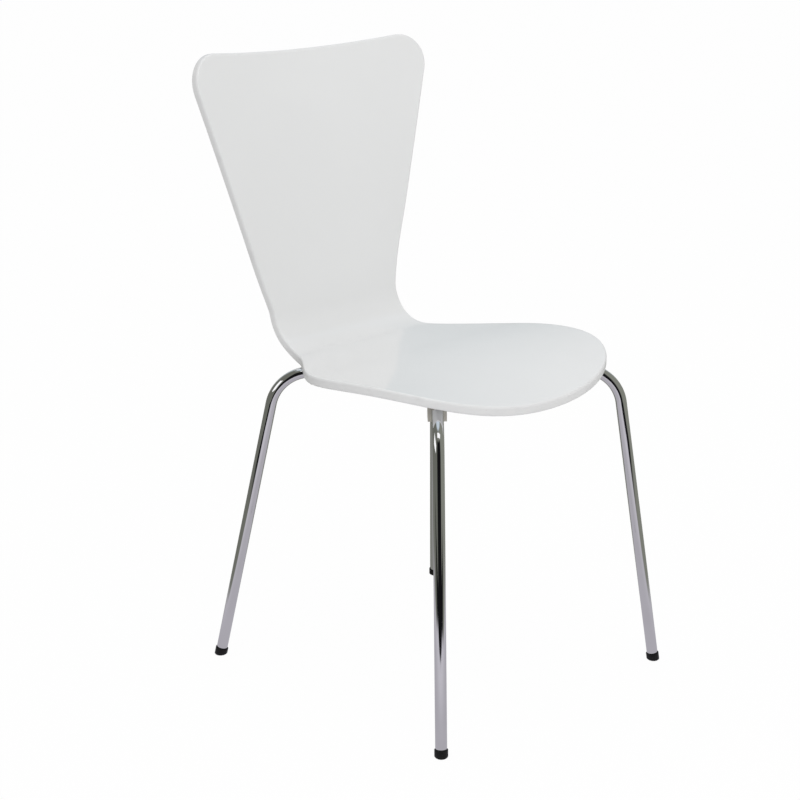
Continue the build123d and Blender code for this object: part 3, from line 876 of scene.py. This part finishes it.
def round_edges(piece, width):
    """Bevel on a piece's sharp edges."""
    bevel = piece.modifiers.new("rounded edges", "BEVEL")
    bevel.width = width
    bevel.segments = 3
    bevel.limit_method = "ANGLE"
    bevel.angle_limit = SHARP
    bevel.harden_normals = True


# ---- Operators ----


class CHAIR_OT_shell(bpy.types.Operator):
    """Build the moulded shell"""

    bl_idname = "chair.shell"
    bl_label = "Moulded shell"

    def execute(self, context):
        scene = context.scene
        points, quads, depth, edge = shell_mesh(scene.chair_shell)
        attributes = {"sheet_depth": depth, "sheet_edge": edge}
        material = lacquer_finish(scene.chair_finishes.lacquer, scene.chair_finishes.edge_lacquer_painted_shade)
        nodes = ["seat_shell"]
        mesh_piece("moulded_shell", points, quads, material, nodes, attributes)
        return {"FINISHED"}


class CHAIR_OT_tubes(bpy.types.Operator):
    """Build the two bent side tubes"""

    bl_idname = "chair.tubes"
    bl_label = "Side tubes"

    def execute(self, context):
        scene = context.scene
        material = chrome_finish(scene.chair_finishes.chrome)
        for side, mirror in SIDES:
            points, quads, attributes = tube_mesh(Frame(scene), mirror)
            name, nodes = side + "_bent_tube", [side + "_side_tube"]
            mesh_piece(name, points, quads, material, nodes, attributes, SHARP)
        return {"FINISHED"}


class CHAIR_OT_glides(bpy.types.Operator):
    """Build the four foot glides"""

    bl_idname = "chair.glides"
    bl_label = "Foot glides"

    def execute(self, context):
        scene = context.scene
        material = moulded_finish("black_plastic", scene.chair_finishes.glide, 0.34, 0.05)
        for leg, foot, shoulder, mirror in Frame(scene).legs():
            points, quads = glide_mesh(scene.chair_frame, foot, shoulder, mirror)
            node = leg + "_glide"
            name = node + "_cap"
            mesh_piece(name, points, quads, material, [node], sharp=GLIDE_SHARP)
        return {"FINISHED"}


class CHAIR_OT_buffers(bpy.types.Operator):
    """Build the four buffers between tubes and shell"""

    bl_idname = "chair.buffers"
    bl_label = "Buffers"

    def execute(self, context):
        scene = context.scene
        chair = Frame(scene)
        shell = Shell(scene.chair_shell)
        material = moulded_finish("buffer_plastic", scene.chair_finishes.buffer, 0.38, 0.06)
        for leg, foot, shoulder, mirror in chair.legs():
            points, quads = buffer_mesh(chair, shell, foot, shoulder, mirror)
            node = leg + "_buffer"
            piece = mesh_piece(node + "_saddle", points, quads, material, [node])
            round_edges(piece, BUFFER_EDGE)
        return {"FINISHED"}


class CHAIR_OT_fittings(bpy.types.Operator):
    """Give the plate, welds, gasket and fasteners their finishes"""

    bl_idname = "chair.fittings"
    bl_label = "Plate and fasteners"

    def execute(self, context):
        finishes = context.scene.chair_finishes
        rubber = moulded_finish("gasket_rubber", finishes.gasket, 0.62, 0.10)
        zinc = zinc_finish(finishes.zinc)
        dressed = {
            "mounting_plate": plate_finish(finishes.chrome),
            "plate_welds": weld_finish(finishes.chrome),
            "seat_gasket": rubber,
            "mounting_screws": zinc,
            "screw_washers": zinc,
            "threaded_inserts": brass_finish(finishes.brass),
        }
        for node, material in dressed.items():
            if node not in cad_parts:
                raise RuntimeError("the frame has no node named " + node)
            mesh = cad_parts[node].data
            mesh.materials.clear()
            mesh.materials.append(material)
        return {"FINISHED"}


class CHAIR_OT_stage(bpy.types.Operator):
    """Set up the floor, the lamps, the reflected studio and the camera"""

    bl_idname = "chair.stage"
    bl_label = "Studio"

    def execute(self, context):
        scene = context.scene
        studio_floor(scene.chair_finishes.floor)
        reflected_studio(scene.chair_finishes)
        reflected_box("left_soft_box", (-1.14, 0.20, 0.80), (0.27, 0.32, 0.0), (0.0, 0.0, 0.22))
        reflected_box("top_soft_box", (-0.62, -1.14, 2.0), (0.61, -0.59, 0.0), (0.17, 0.18, 0.0))
        studio_world()
        soft_lamp("overhead_lamp", (-0.3, -0.6, 3.4), (0.0, 0.0, 0.4), 2.6, 20.0)
        soft_lamp("front_lamp", (-1.4, -3.2, 2.2), (0.0, 0.0, 0.45), 1.6, 20.0)
        place_camera()
        scene.view_settings.view_transform = "Standard"
        return {"FINISHED"}


# ---- Studio ----

FLOOR_REACH = 14.0
FLOOR_WHITE = 0.97
WORLD_LIGHT = 0.76
SEAT_HEIGHT = 0.4
DOME_RADIUS = 3.2
DOME_LIFT = 0.0005
SOFT_BOX_STRENGTH = 1.25
UNREFLECTED = ("camera", "diffuse", "shadow", "transmission")
# Level directions towards the camera and to its right, as cosines of X and Y.
AHEAD = (-0.695, -0.719)
ASIDE = (0.719, -0.695)


def stage_object(name, points, quads, material):
    """A surface of the stage, not of the chair."""
    thing = mesh_object(name, points, quads, material)
    return thing


def stage_panel(name, middle, across, along, material):
    """A flat stage surface, given by its middle and two half edges."""
    signs = np.array([(-1, -1), (1, -1), (1, 1), (-1, 1)])
    corners = np.array(middle) + signs @ np.array([across, along])
    return stage_object(name, corners, np.array([[0, 1, 2, 3]]), material)


def hide_from(thing, *rays):
    """Hides an object from some kinds of rays."""
    for ray in rays:
        setattr(thing, "visible_" + ray, False)


def seen_directly(sheet):
    """1 for what the camera, polished metal or glass looks at, and 0 for the light on surfaces."""
    camera, glossy, transmission = (sheet.add("LightPath", output=i) for i in (0, 3, 6))
    return sheet.math("MAXIMUM", sheet.math("MAXIMUM", camera, glossy), transmission)


def studio_floor(pale):
    """Level floor in one plane: pale, mostly showing as the white background, with the shadow."""
    sheet = new_sheet("studio_floor")
    speckle = sheet.noise(sheet.place(), 700.0, 2.0)
    tone = sheet.mix(speckle, shade(pale), shade(pale, 0.97))
    plain = sheet.add("BsdfDiffuse", sockets={"Color": tone})
    shaders = {0: seen_directly(sheet) * FLOOR_WHITE, 1: plain, 2: sheet.glow(WHITE)}
    material = sheet.finish(sheet.add("MixShader", sockets=shaders))
    stage_panel("studio_floor", (0, 0, 0), (FLOOR_REACH, 0, 0), (0, FLOOR_REACH, 0), material)


def reflected_studio(finishes):
    """What polished metal and gloss lacquer show: a pale floor mat, dark space, grey screens.

    The studio is a dome round the chair, with the colour worked out from the bearing and the
    height above the seat. It is seen in reflections alone, so it neither lights nor shades."""
    sheet = new_sheet("studio_reflection")
    where = sheet.add("TexCoord", output=3)
    parts = sheet.add("SeparateXYZ", sockets={0: where})
    x, y, z = (Value(sheet, socket) for socket in parts.socket.node.outputs)
    ahead = x * AHEAD[0] + y * AHEAD[1]
    aside = x * ASIDE[0] + y * ASIDE[1]
    bearing = sheet.math("ARCTAN2", aside, ahead)
    reach = sheet.math("SQRT", ahead * ahead + aside * aside)
    climb = sheet.math("ARCTAN2", z - SEAT_HEIGHT, reach)
    behind = sheet.step(abs(bearing), 2.2, 2.6)
    left_screen, right_screen = shade(finishes.screen, 0.95), shade(finishes.screen, 1.5)
    back_screen, sky, gap = (shade(tone) for tone in (finishes.back_screen, finishes.sky, finishes.gap))
    tone = sheet.mix(sheet.step(aside, -2.0, 2.0), left_screen, right_screen)
    tone = sheet.mix(behind * sheet.step(climb, 0.0, 0.15), tone, back_screen)
    tone = sheet.mix(behind * sheet.step(climb, 0.70, 0.85), tone, sky)
    tone = sheet.mix(sheet.step(climb, 1.05, 1.25), tone, sky)
    dark_way = sheet.step(bearing, -0.46, -0.36) * sheet.fall(bearing, 0.50, 0.80)
    tone = sheet.mix(dark_way * sheet.fall(climb, 0.62, 0.78), tone, gap)
    low = sheet.fall(z, 0.0, 0.05)
    beyond = sheet.step(ahead, 0.6, 1.1) * sheet.fall(reach, 2.05, 2.24)
    tone = sheet.mix(low * beyond, tone, gap)
    on_mat = sheet.fall(ahead, 1.20, 1.30) * sheet.step(ahead, -0.35, -0.05)
    on_mat = on_mat * sheet.fall(abs(aside), 0.60, 0.80)
    mat = sheet.mix(sheet.step(reach, 0.35, 1.1), shade(finishes.mat, 0.78), shade(finishes.mat))
    material = sheet.finish(sheet.glow(sheet.mix(on_mat * low, tone, mat)))
    turn = turns(64)
    rising = np.linspace(0.0, np.pi / 2, 25)
    floor_shares = np.linspace(0.0, 1.0, 8)[:-1]
    radii = DOME_RADIUS * np.concatenate([floor_shares, np.cos(rising)])
    heights = DOME_RADIUS * np.concatenate([0 * floor_shares, np.sin(rising)]) + DOME_LIFT
    circle = np.stack([np.cos(turn), np.sin(turn), 0 * turn], -1)
    grid = radii[:, None, None] * circle + heights[:, None, None] * UP
    quads = grid_faces(len(radii), len(turn), wrap_columns=True)
    dome = stage_object("studio_reflection", grid.reshape(-1, 3), quads, material)
    hide_from(dome, *UNREFLECTED)


def reflected_box(name, middle, across, along):
    """White soft box that only reflections show, given by its middle and two half edges."""
    sheet = new_sheet(name)
    tone = sheet.mix(sheet.noise(sheet.place(), 3.0, 1.0), WHITE, shade(WHITE, 0.96))
    material = sheet.finish(sheet.glow(tone, SOFT_BOX_STRENGTH))
    hide_from(stage_panel(name, middle, across, along, material), *UNREFLECTED)


def studio_world():
    """Plain soft light from all round, and white where it is looked at."""
    sheet = Sheet(bpy.data.worlds.new("studio"))
    strength = seen_directly(sheet) * (1 - WORLD_LIGHT) + WORLD_LIGHT
    light = sheet.add("Background", sockets={"Color": WHITE, "Strength": strength})
    sheet.add("OutputWorld", sockets={"Surface": light})
    bpy.context.scene.world = sheet.owner


def soft_lamp(name, place, target, size, power):
    """A square soft lamp that looks at a point."""
    data = bpy.data.lights.new(name, "AREA")
    data.shape = "SQUARE"
    data.size = size
    data.energy = power
    lamp = new_thing(name, data)
    lamp.location = place
    aim = np.array(target) - np.array(place)
    tilt = np.arctan2(np.hypot(aim[0], aim[1]), -aim[2])
    lamp.rotation_euler = (tilt, 0.0, np.arctan2(-aim[0], aim[1]))
    hide_from(lamp, "camera", "glossy")


def place_camera():
    """Camera at the sitter's front right, a little above the back's top."""
    data = bpy.data.cameras.new("camera")
    data.sensor_width = 36.0
    data.lens = 85.855
    data.clip_end = 60.0
    camera = new_thing("camera", data)
    camera.location = (-1.73541, -1.74779, 1.11868)
    camera.rotation_euler = (np.radians(90 - 16.951), 0.0, np.radians(-44.007))
    bpy.context.scene.camera = camera


class CHAIR_PT_panel(bpy.types.Panel):
    """The chair's pieces in the sidebar"""

    bl_idname = "CHAIR_PT_panel"
    bl_label = "Stacking chair"
    bl_space_type = "VIEW_3D"
    bl_region_type = "UI"
    bl_category = "Chair"

    def draw(self, context):
        for operator in OPERATORS:
            self.layout.operator(operator.bl_idname)


OPERATORS = (
    CHAIR_OT_shell,
    CHAIR_OT_tubes,
    CHAIR_OT_glides,
    CHAIR_OT_buffers,
    CHAIR_OT_fittings,
    CHAIR_OT_stage,
)
SETTINGS = {"chair_shell": ShellSizes, "chair_frame": FrameSizes, "chair_finishes": Finishes}
CLASSES = (*SETTINGS.values(), *OPERATORS, CHAIR_PT_panel)


def register():
    """Registers the classes and hangs their settings on the scene."""
    for item in CLASSES:
        bpy.utils.register_class(item)
    for name, group in SETTINGS.items():
        setattr(bpy.types.Scene, name, PointerProperty(type=group))


def unregister():
    """Takes the settings and the classes away again."""
    for name in SETTINGS:
        delattr(bpy.types.Scene, name)
    for item in reversed(CLASSES):
        bpy.utils.unregister_class(item)


def main():
    """Builds every piece and the studio."""
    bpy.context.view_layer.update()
    register()
    bpy.ops.chair.stage()
    bpy.ops.chair.shell()
    bpy.ops.chair.tubes()
    bpy.ops.chair.glides()
    bpy.ops.chair.buffers()
    bpy.ops.chair.fittings()


if __name__ == "__main__":
    main()
